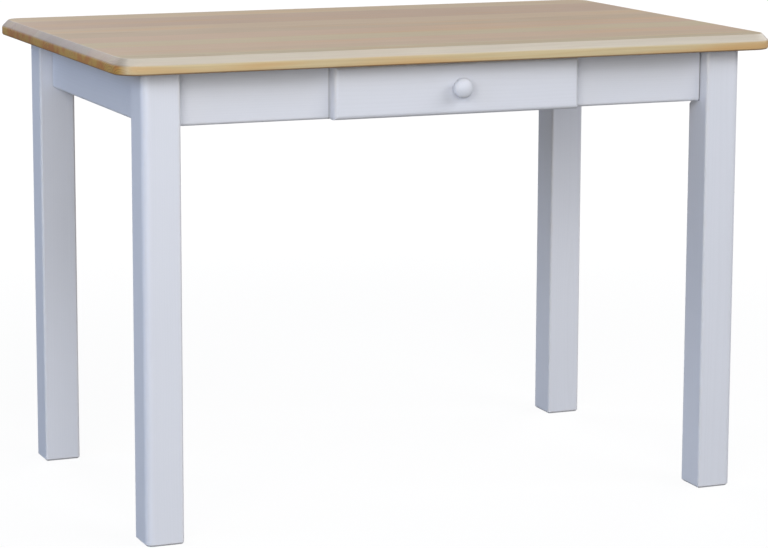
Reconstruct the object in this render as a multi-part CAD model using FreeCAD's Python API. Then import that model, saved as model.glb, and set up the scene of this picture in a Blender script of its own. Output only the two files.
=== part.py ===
import FreeCAD, Part
import math
import os

# A kitchen table with one drawer under its front long edge, in millimetres.
# Origin: on the floor under the middle of the top. +X runs along the table, -Y towards the
# drawer's front and +Z up. Every function returns solids that already stand in their place.
#
# The legs come off: at each corner a folded steel bracket hooks into saw kerfs in two aprons,
# and a hanger bolt draws the leg against their ends. The top is held down by wooden buttons
# whose tongues sit in grooves inside the aprons. The drawer runs on two bearers, between two
# guides that are tenoned into the long aprons.

V = FreeCAD.Vector
PARTS = "parts"

# ---------------------------------------------------------------- driving dimensions
TABLE_LENGTH = 1100.0
TABLE_DEPTH = 700.0
TABLE_HEIGHT = 750.0

TOP_THICKNESS = 25.0
TOP_CORNER_RADIUS = 38.0  # in plan
TOP_BEVEL = 10.5  # cut at 45 degrees along the upper edge
TOP_BEVEL_ROUND = 6.5  # where the bevel meets the upright edge
TOP_LOWER_ROUND = 3.5

LEG_SIDE = 60.0
LEG_INSET_X = 46.0  # from the ends of the top
LEG_INSET_Y = 36.0  # from the long edges of the top
LEG_OUTER_ROUND = 12.0  # the arris at the corner of the table
LEG_ARRIS_ROUND = 4.0  # the other three
LEG_FOOT_CHAMFER = 3.0
LEG_BOLT_FLAT = 14.0  # how far the inner corner is planed off for the bolt

APRON_HEIGHT = 85.0
APRON_THICKNESS = 18.0
APRON_SETBACK = 22.0  # behind the outer faces of the legs
APRON_OUTER_ROUND = 5.0
APRON_EASING = 2.0

DRAWER_CENTRE_X = 9.0
DRAWER_FRONT_WIDTH = 414.0
DRAWER_FRONT_THICKNESS = 20.0
DRAWER_FRONT_ROUND = 7.0
DRAWER_FRONT_EASING = 2.0  # round the back face
DRAWER_FRONT_TOP_GAP = 2.5
DRAWER_FRONT_BACK_GAP = 1.0  # between the shut front and the apron
DRAWER_OVERLAP = 14.0  # how far the front covers the apron at each side of the opening
DRAWER_BOX_DEPTH = 460.0
DRAWER_BOX_HEIGHT = 60.0
DRAWER_BOARD = 12.0
DRAWER_SIDE_PLAY = 3.0
DRAWER_BEARER_PLAY = 0.3
DRAWER_TRAVEL = 340.0

OPENING_SILL = 18.0  # height of the apron left under the opening
OPENING_CLEARANCE = 2.0  # between that sill and the drawer box
OPENING_ROUND = 4.0

BOTTOM_THICKNESS = 4.0
BOTTOM_GROOVE_DEPTH = 6.0
BOTTOM_GROOVE_PLAY = 0.4
BOTTOM_RAISE = 8.0  # from the lower edge of the drawer sides
BOTTOM_EDGE_PLAY = 0.5

KEY_LENGTH = 8.0  # sliding dovetail between drawer side and front
KEY_NECK = 8.0
KEY_FOOT = 11.0
TAIL_COUNT = 3  # through dovetails between drawer side and back
TAIL_NECK = 8.0
TAIL_FOOT = 11.0

GUIDE_THICKNESS = 18.0
TENON_LENGTH = 8.0  # stub tenons of the guides in the long aprons
TENON_THICKNESS = 8.0
TENON_HEIGHT = 40.0
TENON_DROP = 24.0  # from the underside of the top to the tenon
MORTISE_PLAY = 0.5  # past the end of the tenon
BEARER_WIDTH = 20.0
BEARER_HEIGHT = 16.0

STOP_WIDTH = 70.0
STOP_DEPTH = 20.0
STOP_THICKNESS = 16.0
STOP_PLAY = 0.5

KNOB_RADIUS = 16.0
KNOB_PROJECTION = 26.0
KNOB_RIM_HEIGHT = 15.5  # from the drawer front to the widest place
KNOB_RIM_ARC = 8.0
KNOB_FOOT_RADIUS = 9.5
KNOB_RAISE = 2.0  # above the middle of the drawer front
INSERT_RADIUS = 3.0
INSERT_LENGTH = 12.0
KNOB_SCREW_RADIUS = 2.0
KNOB_SCREW_LENGTH = 30.0
KNOB_SCREW_HEAD_RADIUS = 4.2
KNOB_SCREW_HEAD_HEIGHT = 2.6
KNOB_SCREW_PLAY = 0.3  # radial, in the drawer front

PLATE = 2.0  # sheet steel of the corner brackets
PLATE_BEND = 2.5  # bend radius at mid thickness
PLATE_HOLE_PLAY = 0.5  # radial
BRACKET_HEIGHT = 50.0
BRACKET_WEB_REACH = 60.0  # from the leg's outer faces to the middle of the web
BRACKET_WING = 40.0
BRACKET_FLANGE = 10.0
KERF_WIDTH = 4.0
KERF_DEPTH = 10.5
KERF_PLAY = 0.3  # between the hooked flange and the end of the apron that it pulls

BOLT_RADIUS = 4.0
BOLT_IN_LEG = 45.0
BOLT_PAST_NUT = 5.0
WASHER_PLAY = 0.3  # radial, round the bolt
WASHER_RADIUS = 11.0
WASHER_THICKNESS = 1.6
NUT_ACROSS_FLATS = 13.0
NUT_THICKNESS = 6.5

GROOVE_WIDTH = 6.0  # the groove inside each apron that takes the buttons' tongues
GROOVE_DEPTH = 8.0
GROOVE_DROP = 11.0  # from the underside of the top to the groove
BUTTON_WIDTH = 30.0
BUTTON_REACH = 34.0  # from the apron's inner face
BUTTON_THICKNESS = 18.0
BUTTON_TONGUE = 5.0  # thickness
BUTTON_GAP = 1.0  # behind the tongue and in front of the shoulder
BUTTON_X = 320.0  # places along the long aprons
BUTTON_Y = 120.0  # places along the short aprons

OVERCUT = 1.0  # how far a cutter reaches past the face that it opens

# ---------------------------------------------------------------- derived planes
TOP_UNDERSIDE = TABLE_HEIGHT - TOP_THICKNESS
APRON_BOTTOM = TOP_UNDERSIDE - APRON_HEIGHT
LEG_X = TABLE_LENGTH / 2 - LEG_INSET_X  # outer faces of the legs
LEG_Y = TABLE_DEPTH / 2 - LEG_INSET_Y
APRON_SPAN_X = 2 * (LEG_X - LEG_SIDE)
APRON_SPAN_Y = 2 * (LEG_Y - LEG_SIDE)
APRON_FACE_X = LEG_X - APRON_SETBACK
APRON_FACE_Y = LEG_Y - APRON_SETBACK
APRON_INNER_X = APRON_FACE_X - APRON_THICKNESS
APRON_INNER_Y = APRON_FACE_Y - APRON_THICKNESS

OPENING_HALF = DRAWER_FRONT_WIDTH / 2 - DRAWER_OVERLAP
OPENING_BOTTOM = APRON_BOTTOM + OPENING_SILL
BOX_HALF = OPENING_HALF - DRAWER_SIDE_PLAY
BOX_INNER_HALF = BOX_HALF - DRAWER_BOARD
BOX_BOTTOM = OPENING_BOTTOM + OPENING_CLEARANCE
BOX_TOP = BOX_BOTTOM + DRAWER_BOX_HEIGHT
FRONT_BACK_Y = -APRON_FACE_Y - DRAWER_FRONT_BACK_GAP
FRONT_FACE_Y = FRONT_BACK_Y - DRAWER_FRONT_THICKNESS
FRONT_TOP = TOP_UNDERSIDE - DRAWER_FRONT_TOP_GAP
BOX_REAR_Y = FRONT_BACK_Y + DRAWER_BOX_DEPTH
BACK_INNER_Y = BOX_REAR_Y - DRAWER_BOARD
PANEL_BOTTOM = BOX_BOTTOM + BOTTOM_RAISE
PANEL_TOP = PANEL_BOTTOM + BOTTOM_THICKNESS
BEARER_TOP = BOX_BOTTOM - DRAWER_BEARER_PLAY
BEARER_BOTTOM = BEARER_TOP - BEARER_HEIGHT
TENON_TOP = TOP_UNDERSIDE - TENON_DROP
STOP_BOTTOM = TOP_UNDERSIDE - STOP_THICKNESS
STOP_REAR_Y = BACK_INNER_Y - DRAWER_TRAVEL - STOP_PLAY
KNOB_Z = (APRON_BOTTOM + FRONT_TOP) / 2 + KNOB_RAISE
BRACKET_BOTTOM = APRON_BOTTOM + (APRON_HEIGHT - BRACKET_HEIGHT) / 2
BRACKET_MIDDLE = BRACKET_BOTTOM + BRACKET_HEIGHT / 2
BRACKET_LINE = APRON_SETBACK + APRON_THICKNESS + PLATE / 2  # middle of a wing, from the leg's face
GROOVE_TOP = TOP_UNDERSIDE - GROOVE_DROP
GROOVE_BOTTOM = GROOVE_TOP - GROOVE_WIDTH
DIAGONAL = math.sqrt(0.5)


# ---------------------------------------------------------------- helpers
def box(x0, x1, y0, y1, z0, z1):
    """A block between three pairs of planes; each pair may come in either order."""
    low = V(min(x0, x1), min(y0, y1), min(z0, z1))
    return Part.makeBox(abs(x1 - x0), abs(y1 - y0), abs(z1 - z0), low)


def prism(corners, way):
    """A straight prism: a flat polygon carried along a vector."""
    return Part.Face(Part.makePolygon(corners + [corners[0]])).extrude(way)


def cylinder(radius, length, foot, direction):
    """A plain round bar or bore from foot along direction."""
    return Part.makeCylinder(radius, length, V(*foot), V(*direction))


def aimed(shape, foot, direction):
    """Stands a shape that was made along +Z at the origin on a foot, along a direction."""
    shape.Placement = FreeCAD.Placement(V(*foot), FreeCAD.Rotation(V(0, 0, 1), V(*direction)))
    return shape


def mirrored(shape, flip_x, flip_y):
    """The shape carried to another corner of the table by mirroring."""
    if flip_x:
        shape = shape.mirror(V(0, 0, 0), V(1, 0, 0))
    if flip_y:
        shape = shape.mirror(V(0, 0, 0), V(0, 1, 0))
    return shape


def near(value, target):
    """True where two lengths agree to a hundredth of a millimetre."""
    return abs(value - target) < 0.01


def edges_where(shape, test):
    """The edges whose two end points both pass the test."""
    return [edge for edge in shape.Edges if all(test(end.Point) for end in edge.Vertexes)]


def upright_edges(shape):
    """The edges whose two ends stand above each other."""
    return [e for e in shape.Edges if near(e.Vertexes[0].X, e.Vertexes[-1].X)
            and near(e.Vertexes[0].Y, e.Vertexes[-1].Y)]


def left_of(direction):
    """The unit vector a quarter turn to the left of a direction in the XY plane."""
    return V(-direction.y, direction.x, 0)


def bent_sheet(path, thickness, bend):
    """The edge-on outline of a folded strip, as a face in the XY plane.

    path holds the corners of the middle line as (x, y); every inner corner is an arc of
    radius bend, and both skins run parallel to the middle line at half the thickness.
    """
    corners = [V(x, y, 0) for x, y in path]
    runs = [(b - a).normalize() for a, b in zip(corners, corners[1:])]
    edges = []
    ends = []
    for side in (1, -1):
        offset = side * thickness / 2
        start = corners[0] + left_of(runs[0]) * offset
        ends.append(start)
        for corner, before, after in zip(corners[1:-1], runs, runs[1:]):
            turn = math.atan2(before.x * after.y - before.y * after.x, before.dot(after))
            reach = bend * math.tan(abs(turn) / 2)
            to_centre = math.copysign(bend, turn)
            centre = corner - before * reach + left_of(before) * to_centre
            crest = centre + (corner - centre).normalize() * abs(to_centre - offset)
            bend_start = corner - before * reach + left_of(before) * offset
            bend_end = corner + after * reach + left_of(after) * offset
            edges.append(Part.makeLine(start, bend_start))
            edges.append(Part.Arc(bend_start, crest, bend_end).toShape())
            start = bend_end
        end = corners[-1] + left_of(runs[-1]) * offset
        edges.append(Part.makeLine(start, end))
        ends.append(end)
    edges.append(Part.makeLine(ends[0], ends[2]))
    edges.append(Part.makeLine(ends[1], ends[3]))
    return Part.Face(Part.Wire(Part.__sortEdges__(edges)))


# ---------------------------------------------------------------- the top
def tabletop():
    """The glued panel: rounded in plan, bevelled above and rounded below."""
    panel = box(-TABLE_LENGTH / 2, TABLE_LENGTH / 2, -TABLE_DEPTH / 2, TABLE_DEPTH / 2,
                TOP_UNDERSIDE, TABLE_HEIGHT)
    panel = panel.makeFillet(TOP_CORNER_RADIUS, upright_edges(panel))
    upper = edges_where(panel, lambda p: near(p.z, TABLE_HEIGHT))
    panel = panel.makeChamfer(TOP_BEVEL, upper)
    bevel_foot = edges_where(panel, lambda p: near(p.z, TABLE_HEIGHT - TOP_BEVEL))
    panel = panel.makeFillet(TOP_BEVEL_ROUND, bevel_foot)
    lower = edges_where(panel, lambda p: near(p.z, TOP_UNDERSIDE))
    return panel.makeFillet(TOP_LOWER_ROUND, lower)


def button_places():
    """Each button: its point on an apron's inner face, and the way into the room."""
    places = []
    for x in (-BUTTON_X, BUTTON_X):
        places.append((x, -APRON_INNER_Y, (0, 1)))
        places.append((x, APRON_INNER_Y, (0, -1)))
    for y in (-BUTTON_Y, BUTTON_Y):
        places.append((-APRON_INNER_X, y, (1, 0)))
        places.append((APRON_INNER_X, y, (-1, 0)))
    return places


def top_buttons():
    """Stepped blocks under the top; each tongue pulls on the upper wall of its groove."""
    tongue_end = BUTTON_GAP - GROOVE_DEPTH
    tongue_low = GROOVE_TOP - BUTTON_TONGUE
    block_low = TOP_UNDERSIDE - BUTTON_THICKNESS
    outline = [
        V(tongue_end, 0, tongue_low),
        V(BUTTON_GAP, 0, tongue_low),
        V(BUTTON_GAP, 0, block_low),
        V(BUTTON_REACH, 0, block_low),
        V(BUTTON_REACH, 0, TOP_UNDERSIDE),
        V(BUTTON_GAP, 0, TOP_UNDERSIDE),
        V(BUTTON_GAP, 0, GROOVE_TOP),
        V(tongue_end, 0, GROOVE_TOP),
    ]
    buttons = []
    for x, y, (inward_x, inward_y) in button_places():
        button = prism(outline, V(0, BUTTON_WIDTH, 0))
        button.translate(V(0, -BUTTON_WIDTH / 2, 0))
        button.rotate(V(0, 0, 0), V(0, 0, 1), math.degrees(math.atan2(inward_y, inward_x)))
        button.translate(V(x, y, 0))
        buttons.append(button)
    return buttons


# ---------------------------------------------------------------- legs and their bolts
def front_left_leg():
    """A square leg, broadly rounded outside and planed off inside for its bolt."""
    leg = box(0, LEG_SIDE, 0, LEG_SIDE, 0, TOP_UNDERSIDE)
    outer = edges_where(leg, lambda p: near(p.x, 0) and near(p.y, 0))
    leg = leg.makeFillet(LEG_OUTER_ROUND, outer)
    others = [e for e in upright_edges(leg)
              if near(max(e.Vertexes[0].X, e.Vertexes[0].Y), LEG_SIDE)
              and near(min(e.Vertexes[0].X, e.Vertexes[0].Y) % LEG_SIDE, 0)]
    leg = leg.makeFillet(LEG_ARRIS_ROUND, others)
    foot = edges_where(leg, lambda p: near(p.z, 0))
    leg = leg.makeChamfer(LEG_FOOT_CHAMFER, foot)
    leg = leg.cut(bolt_flat_cutter())
    leg.translate(V(-LEG_X, -LEG_Y, 0))
    bore_length = flat_distance() + BOLT_IN_LEG + OVERCUT
    return leg.cut(cylinder(BOLT_RADIUS, bore_length, along_bolt(0), bolt_direction()))


def bolt_flat_cutter():
    """What is planed off a leg's inner corner: a wedge that runs out at 45 degrees below."""
    depth = LEG_BOLT_FLAT * DIAGONAL + OVERCUT
    outline = [
        V(0, -depth, APRON_BOTTOM),
        V(depth, -depth, APRON_BOTTOM - depth),
        V(depth, -depth, TOP_UNDERSIDE + OVERCUT),
        V(0, -depth, TOP_UNDERSIDE + OVERCUT),
    ]
    wedge = prism(outline, V(0, 2 * depth, 0))
    wedge.rotate(V(0, 0, 0), V(0, 0, 1), 45)
    corner = LEG_SIDE - LEG_BOLT_FLAT / 2
    wedge.translate(V(corner, corner, 0))
    return wedge


def bolt_direction():
    """The way the front left bolt goes into its leg."""
    return (-DIAGONAL, -DIAGONAL, 0)


def flat_distance():
    """From the web's middle plane to the planed flat of the leg, along the bolt."""
    return (2 * BRACKET_WEB_REACH - 2 * LEG_SIDE + LEG_BOLT_FLAT) * DIAGONAL


def along_bolt(distance):
    """A point on the front left bolt's axis, measured inwards from the web's middle."""
    step = distance * DIAGONAL
    return (step + BRACKET_WEB_REACH - LEG_X, step + BRACKET_WEB_REACH - LEG_Y, BRACKET_MIDDLE)


def hanger_bolt():
    """A headless bolt, one half in the leg and the other through web, washer and nut."""
    outer = PLATE / 2 + WASHER_THICKNESS + NUT_THICKNESS + BOLT_PAST_NUT
    length = outer + flat_distance() + BOLT_IN_LEG
    return cylinder(BOLT_RADIUS, length, along_bolt(outer), bolt_direction())


def hanger_washer():
    """The wide washer between the web and the nut."""
    face = along_bolt(PLATE / 2 + WASHER_THICKNESS)
    disc = cylinder(WASHER_RADIUS, WASHER_THICKNESS, face, bolt_direction())
    return disc.cut(cylinder(BOLT_RADIUS + WASHER_PLAY, WASHER_THICKNESS, face, bolt_direction()))


def hanger_nut():
    """The hexagon nut that draws the leg against the ends of the aprons."""
    corner = NUT_ACROSS_FLATS / math.sqrt(3)
    turns = [math.radians(angle) for angle in range(0, 360, 60)]
    hexagon = [V(corner * math.cos(a), corner * math.sin(a), 0) for a in turns]
    nut = prism(hexagon, V(0, 0, NUT_THICKNESS))
    nut = nut.cut(cylinder(BOLT_RADIUS, NUT_THICKNESS, (0, 0, 0), (0, 0, 1)))
    return aimed(nut, along_bolt(PLATE / 2 + WASHER_THICKNESS + NUT_THICKNESS), bolt_direction())


def front_left_bracket():
    """The folded corner plate: a web across the corner, two wings and two hooked flanges."""
    wing_start = 2 * BRACKET_WEB_REACH - BRACKET_LINE
    wing_end = wing_start + BRACKET_WING
    flange_end = BRACKET_LINE - BRACKET_FLANGE
    path = [
        (wing_end, flange_end),
        (wing_end, BRACKET_LINE),
        (wing_start, BRACKET_LINE),
        (BRACKET_LINE, wing_start),
        (BRACKET_LINE, wing_end),
        (flange_end, wing_end),
    ]
    plate = bent_sheet(path, PLATE, PLATE_BEND).extrude(V(0, 0, BRACKET_HEIGHT))
    plate.translate(V(-LEG_X, -LEG_Y, BRACKET_BOTTOM))
    hole_radius = BOLT_RADIUS + PLATE_HOLE_PLAY
    return plate.cut(cylinder(hole_radius, 2 * PLATE, along_bolt(PLATE), bolt_direction()))


def corner_kerf(along_x):
    """The saw kerf that takes the flange of the front left bracket."""
    flange_face = 2 * BRACKET_WEB_REACH - BRACKET_LINE + BRACKET_WING + PLATE / 2 + KERF_PLAY
    inner = APRON_SETBACK + APRON_THICKNESS
    along = (flange_face - KERF_WIDTH, flange_face)
    across = (inner - KERF_DEPTH, inner + OVERCUT)
    span_x, span_y = (along, across) if along_x else (across, along)
    return box(span_x[0] - LEG_X, span_x[1] - LEG_X, span_y[0] - LEG_Y, span_y[1] - LEG_Y,
               APRON_BOTTOM - OVERCUT, TOP_UNDERSIDE + OVERCUT)


# ---------------------------------------------------------------- aprons
def apron_board(span):
    """A board along X with its outer face on y = 0 and its body towards +Y.

    The lower arrises are rounded, the outer one more than the inner one, the ends are
    chamfered where they meet the legs, and a groove for the buttons runs along the inside.
    """
    low = APRON_BOTTOM
    board = box(-span / 2, span / 2, 0, APRON_THICKNESS, low, TOP_UNDERSIDE)
    end_arrises = [e for e in upright_edges(board) if near(e.Vertexes[0].Y, 0)]
    board = board.makeChamfer(APRON_EASING, end_arrises)
    outer_low = edges_where(board, lambda p: near(p.y, 0) and near(p.z, low))
    board = board.makeFillet(APRON_OUTER_ROUND, outer_low)
    inner_low = edges_where(board, lambda p: near(p.y, APRON_THICKNESS) and near(p.z, low))
    board = board.makeFillet(APRON_EASING, inner_low)
    groove = box(-span / 2 - OVERCUT, span / 2 + OVERCUT, APRON_THICKNESS - GROOVE_DEPTH,
                 APRON_THICKNESS + OVERCUT, GROOVE_BOTTOM, GROOVE_TOP)
    return board.cut(groove)


def with_kerfs(board, along_x):
    """The standing apron with its two saw kerfs for the corner brackets."""
    for flip_x in (False, True):
        for flip_y in (False, True):
            board = board.cut(mirrored(corner_kerf(along_x), flip_x, flip_y))
    return board


def long_apron(rear):
    """The front or back apron, mortised for the drawer guides."""
    board = apron_board(APRON_SPAN_X)
    board.translate(V(0, -APRON_FACE_Y, 0))
    board = with_kerfs(mirrored(board, False, rear), True)
    for side in (-1, 1):
        board = board.cut(guide_tenon(side, MORTISE_PLAY))
    return board


def front_apron():
    """The front apron, with the opening that the drawer runs through."""
    low = OPENING_BOTTOM
    notch = box(DRAWER_CENTRE_X - OPENING_HALF, DRAWER_CENTRE_X + OPENING_HALF,
                -APRON_FACE_Y - OVERCUT, -APRON_INNER_Y + OVERCUT,
                low, TOP_UNDERSIDE + OVERCUT)
    corners = [e for e in edges_where(notch, lambda p: near(p.z, low))
               if near(e.Vertexes[0].X, e.Vertexes[1].X)]
    return long_apron(False).cut(notch.makeFillet(OPENING_ROUND, corners))


def left_apron():
    """The short apron between the two left legs."""
    board = apron_board(APRON_SPAN_Y)
    board.rotate(V(0, 0, 0), V(0, 0, 1), -90)
    board.translate(V(-APRON_FACE_X, 0, 0))
    return with_kerfs(board, False)


# ---------------------------------------------------------------- drawer guides
def guide_tenon(side, play):
    """The bar through a guide that forms both its stub tenons; side is -1 left, 1 right."""
    middle = DRAWER_CENTRE_X + side * (OPENING_HALF + GUIDE_THICKNESS / 2)
    half = TENON_THICKNESS / 2
    reach = APRON_INNER_Y + TENON_LENGTH + play
    return box(middle - half, middle + half, -reach, reach, TENON_TOP - TENON_HEIGHT, TENON_TOP)


def guide(side):
    """The upright board that keeps the drawer straight, with a stub tenon at each end."""
    inner = DRAWER_CENTRE_X + side * OPENING_HALF
    board = box(inner, inner + side * GUIDE_THICKNESS, -APRON_INNER_Y, APRON_INNER_Y,
                BEARER_BOTTOM, TOP_UNDERSIDE)
    return board.fuse(guide_tenon(side, 0)).removeSplitter()


def bearer(side):
    """The strip that the drawer side rides on, glued along the foot of its guide."""
    outer = DRAWER_CENTRE_X + side * OPENING_HALF
    inner = outer - side * BEARER_WIDTH
    strip = box(inner, outer, -APRON_INNER_Y, APRON_INNER_Y, BEARER_BOTTOM, BEARER_TOP)
    return strip.makeFillet(APRON_EASING, edges_where(strip, lambda p: near(p.x, inner)
                                                      and near(p.z, BEARER_TOP)))


def drawer_stop():
    """The block under the top that the drawer's back meets when it is fully open."""
    half = STOP_WIDTH / 2
    block = box(DRAWER_CENTRE_X - half, DRAWER_CENTRE_X + half,
                STOP_REAR_Y - STOP_DEPTH, STOP_REAR_Y, STOP_BOTTOM, TOP_UNDERSIDE)
    lower = edges_where(block, lambda p: near(p.z, STOP_BOTTOM))
    return block.makeChamfer(APRON_EASING, lower)


# ---------------------------------------------------------------- the drawer
def drawer_front():
    """The overlay front, with dovetail slots for the sides and a groove for the bottom."""
    half = DRAWER_FRONT_WIDTH / 2
    board = box(DRAWER_CENTRE_X - half, DRAWER_CENTRE_X + half, FRONT_FACE_Y, FRONT_BACK_Y,
                APRON_BOTTOM, FRONT_TOP)
    show_edges = edges_where(board, lambda p: near(p.y, FRONT_FACE_Y))
    board = board.makeFillet(DRAWER_FRONT_ROUND, show_edges)
    rear_edges = edges_where(board, lambda p: near(p.y, FRONT_BACK_Y))
    board = board.makeChamfer(DRAWER_FRONT_EASING, rear_edges)
    for side in (-1, 1):
        board = board.cut(dovetail_key(side, APRON_BOTTOM - OVERCUT, BOX_TOP))
    board = board.cut(bottom_groove(BOX_INNER_HALF + BOTTOM_GROOVE_DEPTH))
    bore = cylinder(KNOB_SCREW_RADIUS + KNOB_SCREW_PLAY, DRAWER_FRONT_THICKNESS + 2 * OVERCUT,
                    (DRAWER_CENTRE_X, FRONT_BACK_Y + OVERCUT, KNOB_Z), (0, -1, 0))
    return board.cut(bore)


def bottom_groove(half):
    """The slot that the bottom panel slides in, as a block of a given half width."""
    return box(DRAWER_CENTRE_X - half, DRAWER_CENTRE_X + half,
               FRONT_BACK_Y - BOTTOM_GROOVE_DEPTH, BOX_REAR_Y + OVERCUT,
               PANEL_BOTTOM, PANEL_TOP + BOTTOM_GROOVE_PLAY)


def dovetail_key(side, low, high):
    """The sliding dovetail on the front end of a drawer side, as a prism along Z."""
    middle = DRAWER_CENTRE_X + side * (BOX_HALF - DRAWER_BOARD / 2)
    deep = FRONT_BACK_Y - KEY_LENGTH
    outline = [
        V(middle - KEY_NECK / 2, FRONT_BACK_Y, low),
        V(middle + KEY_NECK / 2, FRONT_BACK_Y, low),
        V(middle + KEY_FOOT / 2, deep, low),
        V(middle - KEY_FOOT / 2, deep, low),
    ]
    return prism(outline, V(0, 0, high - low))


def dovetail_pins(side):
    """What the drawer back fills of a rear corner between the tails of a side."""
    outer = DRAWER_CENTRE_X + side * BOX_HALF
    pins = box(outer, outer - side * DRAWER_BOARD, BACK_INNER_Y, BOX_REAR_Y, PANEL_TOP, BOX_TOP)
    pitch = (BOX_TOP - PANEL_TOP) / TAIL_COUNT
    for number in range(TAIL_COUNT):
        z = PANEL_TOP + (number + 0.5) * pitch
        outline = [
            V(outer, BACK_INNER_Y, z - TAIL_NECK / 2),
            V(outer, BACK_INNER_Y, z + TAIL_NECK / 2),
            V(outer, BOX_REAR_Y, z + TAIL_FOOT / 2),
            V(outer, BOX_REAR_Y, z - TAIL_FOOT / 2),
        ]
        pins = pins.cut(prism(outline, V(-side * DRAWER_BOARD, 0, 0)))
    return pins


def drawer_side(side):
    """A side board: dovetail key in front, tails behind, and the groove for the bottom."""
    outer = DRAWER_CENTRE_X + side * BOX_HALF
    board = box(outer, outer - side * DRAWER_BOARD, FRONT_BACK_Y, BOX_REAR_Y, BOX_BOTTOM, BOX_TOP)
    board = board.fuse(dovetail_key(side, BOX_BOTTOM, BOX_TOP)).removeSplitter()
    board = board.cut(bottom_groove(BOX_INNER_HALF + BOTTOM_GROOVE_DEPTH))
    return board.cut(dovetail_pins(side))


def drawer_back():
    """The back board, which stands on the bottom panel and ends in dovetail pins."""
    board = box(DRAWER_CENTRE_X - BOX_INNER_HALF, DRAWER_CENTRE_X + BOX_INNER_HALF,
                BACK_INNER_Y, BOX_REAR_Y, PANEL_TOP, BOX_TOP)
    return board.fuse([dovetail_pins(-1), dovetail_pins(1)]).removeSplitter()


def drawer_bottom():
    """The thin panel, slid from behind into the grooves of sides and front."""
    half = BOX_INNER_HALF + BOTTOM_GROOVE_DEPTH - BOTTOM_EDGE_PLAY
    return box(DRAWER_CENTRE_X - half, DRAWER_CENTRE_X + half,
               FRONT_BACK_Y - BOTTOM_GROOVE_DEPTH + BOTTOM_EDGE_PLAY, BOX_REAR_Y,
               PANEL_BOTTOM, PANEL_TOP)


def drawer_knob():
    """The turned knob: a tapered foot and a flattened ball, bored for its insert.

    The ball's profile is an oval of two arcs that meet in one tangent: a small one round the
    rim and a large one over the crown, whose centre lies on the axis.
    """
    rim_centre = V(KNOB_RADIUS - KNOB_RIM_ARC, 0, KNOB_RIM_HEIGHT)
    crown_rise = KNOB_PROJECTION - KNOB_RIM_HEIGHT
    slack = crown_rise - KNOB_RIM_ARC
    drop = (rim_centre.x ** 2 - slack ** 2) / (2 * slack)
    crown_arc = crown_rise + drop
    crown_centre = V(0, 0, KNOB_RIM_HEIGHT - drop)
    to_join = (rim_centre - crown_centre).normalize()
    join = crown_centre + to_join * crown_arc
    halfway = crown_centre + (to_join + V(0, 0, 1)).normalize() * crown_arc
    pole = V(0, 0, KNOB_PROJECTION)
    neck = rim_centre - V(0, 0, KNOB_RIM_ARC)
    foot = V(KNOB_FOOT_RADIUS, 0, 0)
    profile = [
        Part.makeLine(V(0, 0, 0), foot),
        Part.makeLine(foot, neck),
        Part.Arc(neck, V(KNOB_RADIUS, 0, KNOB_RIM_HEIGHT), join).toShape(),
        Part.Arc(join, halfway, pole).toShape(),
        Part.makeLine(pole, V(0, 0, 0)),
    ]
    knob = Part.Face(Part.Wire(profile)).revolve(V(0, 0, 0), V(0, 0, 1), 360)
    knob = knob.cut(cylinder(INSERT_RADIUS, INSERT_LENGTH + OVERCUT, (0, 0, 0), (0, 0, 1)))
    return aimed(knob, (DRAWER_CENTRE_X, FRONT_FACE_Y, KNOB_Z), (0, -1, 0))


def knob_insert():
    """The threaded brass bush in the knob."""
    foot = (DRAWER_CENTRE_X, FRONT_FACE_Y, KNOB_Z)
    bush = cylinder(INSERT_RADIUS, INSERT_LENGTH, foot, (0, -1, 0))
    return bush.cut(cylinder(KNOB_SCREW_RADIUS, INSERT_LENGTH, foot, (0, -1, 0)))


def knob_screw():
    """The screw that goes through the drawer front into the knob's insert."""
    seat = (DRAWER_CENTRE_X, FRONT_BACK_Y, KNOB_Z)
    shank = cylinder(KNOB_SCREW_RADIUS, KNOB_SCREW_LENGTH, seat, (0, -1, 0))
    head = cylinder(KNOB_SCREW_HEAD_RADIUS, KNOB_SCREW_HEAD_HEIGHT, seat, (0, 1, 0))
    return head.fuse(shank).removeSplitter()


# ---------------------------------------------------------------- all nodes
def four_corners(shape):
    """The front left shape and its mirror images, by corner name."""
    corners = {}
    for flip_y, end in ((False, "front"), (True, "back")):
        for flip_x, hand in ((False, "left"), (True, "right")):
            corners[end + "_" + hand] = mirrored(shape, flip_x, flip_y)
    return corners


def nodes():
    """Every sub-part by name; a list is a group of identical separate solids."""
    made = {"tabletop": tabletop(), "top_buttons": top_buttons()}
    for corner, leg in four_corners(front_left_leg()).items():
        made["leg_" + corner] = leg
    made["front_apron"] = front_apron()
    made["back_apron"] = long_apron(True)
    made["left_apron"] = left_apron()
    made["right_apron"] = mirrored(made["left_apron"], True, False)
    for corner, bracket in four_corners(front_left_bracket()).items():
        made["corner_bracket_" + corner] = bracket
    made["hanger_bolts"] = list(four_corners(hanger_bolt()).values())
    made["hanger_bolt_washers"] = list(four_corners(hanger_washer()).values())
    made["hanger_bolt_nuts"] = list(four_corners(hanger_nut()).values())
    for side, hand in ((-1, "left"), (1, "right")):
        made["drawer_guide_" + hand] = guide(side)
        made["drawer_bearer_" + hand] = bearer(side)
        made["drawer_side_" + hand] = drawer_side(side)
    made["drawer_stop"] = drawer_stop()
    made["drawer_front"] = drawer_front()
    made["drawer_back"] = drawer_back()
    made["drawer_bottom"] = drawer_bottom()
    made["drawer_knob"] = drawer_knob()
    made["knob_insert"] = knob_insert()
    made["knob_screw"] = knob_screw()
    return made


def main():
    """Writes one STEP file per node."""
    os.makedirs(PARTS, exist_ok=True)
    for name, shape in nodes().items():
        if isinstance(shape, list):
            shape = Part.makeCompound(shape)
        shape.exportStep(os.path.join(PARTS, name + ".step"))
        print(name, len(shape.Solids), "solids", round(shape.Volume / 1000.0, 2), "cm3",
              "valid" if shape.isValid() else "NOT VALID")


main()
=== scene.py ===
import logging
import math
from dataclasses import dataclass, replace
from enum import Enum
from typing import Mapping, Optional, Sequence, Union

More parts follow.
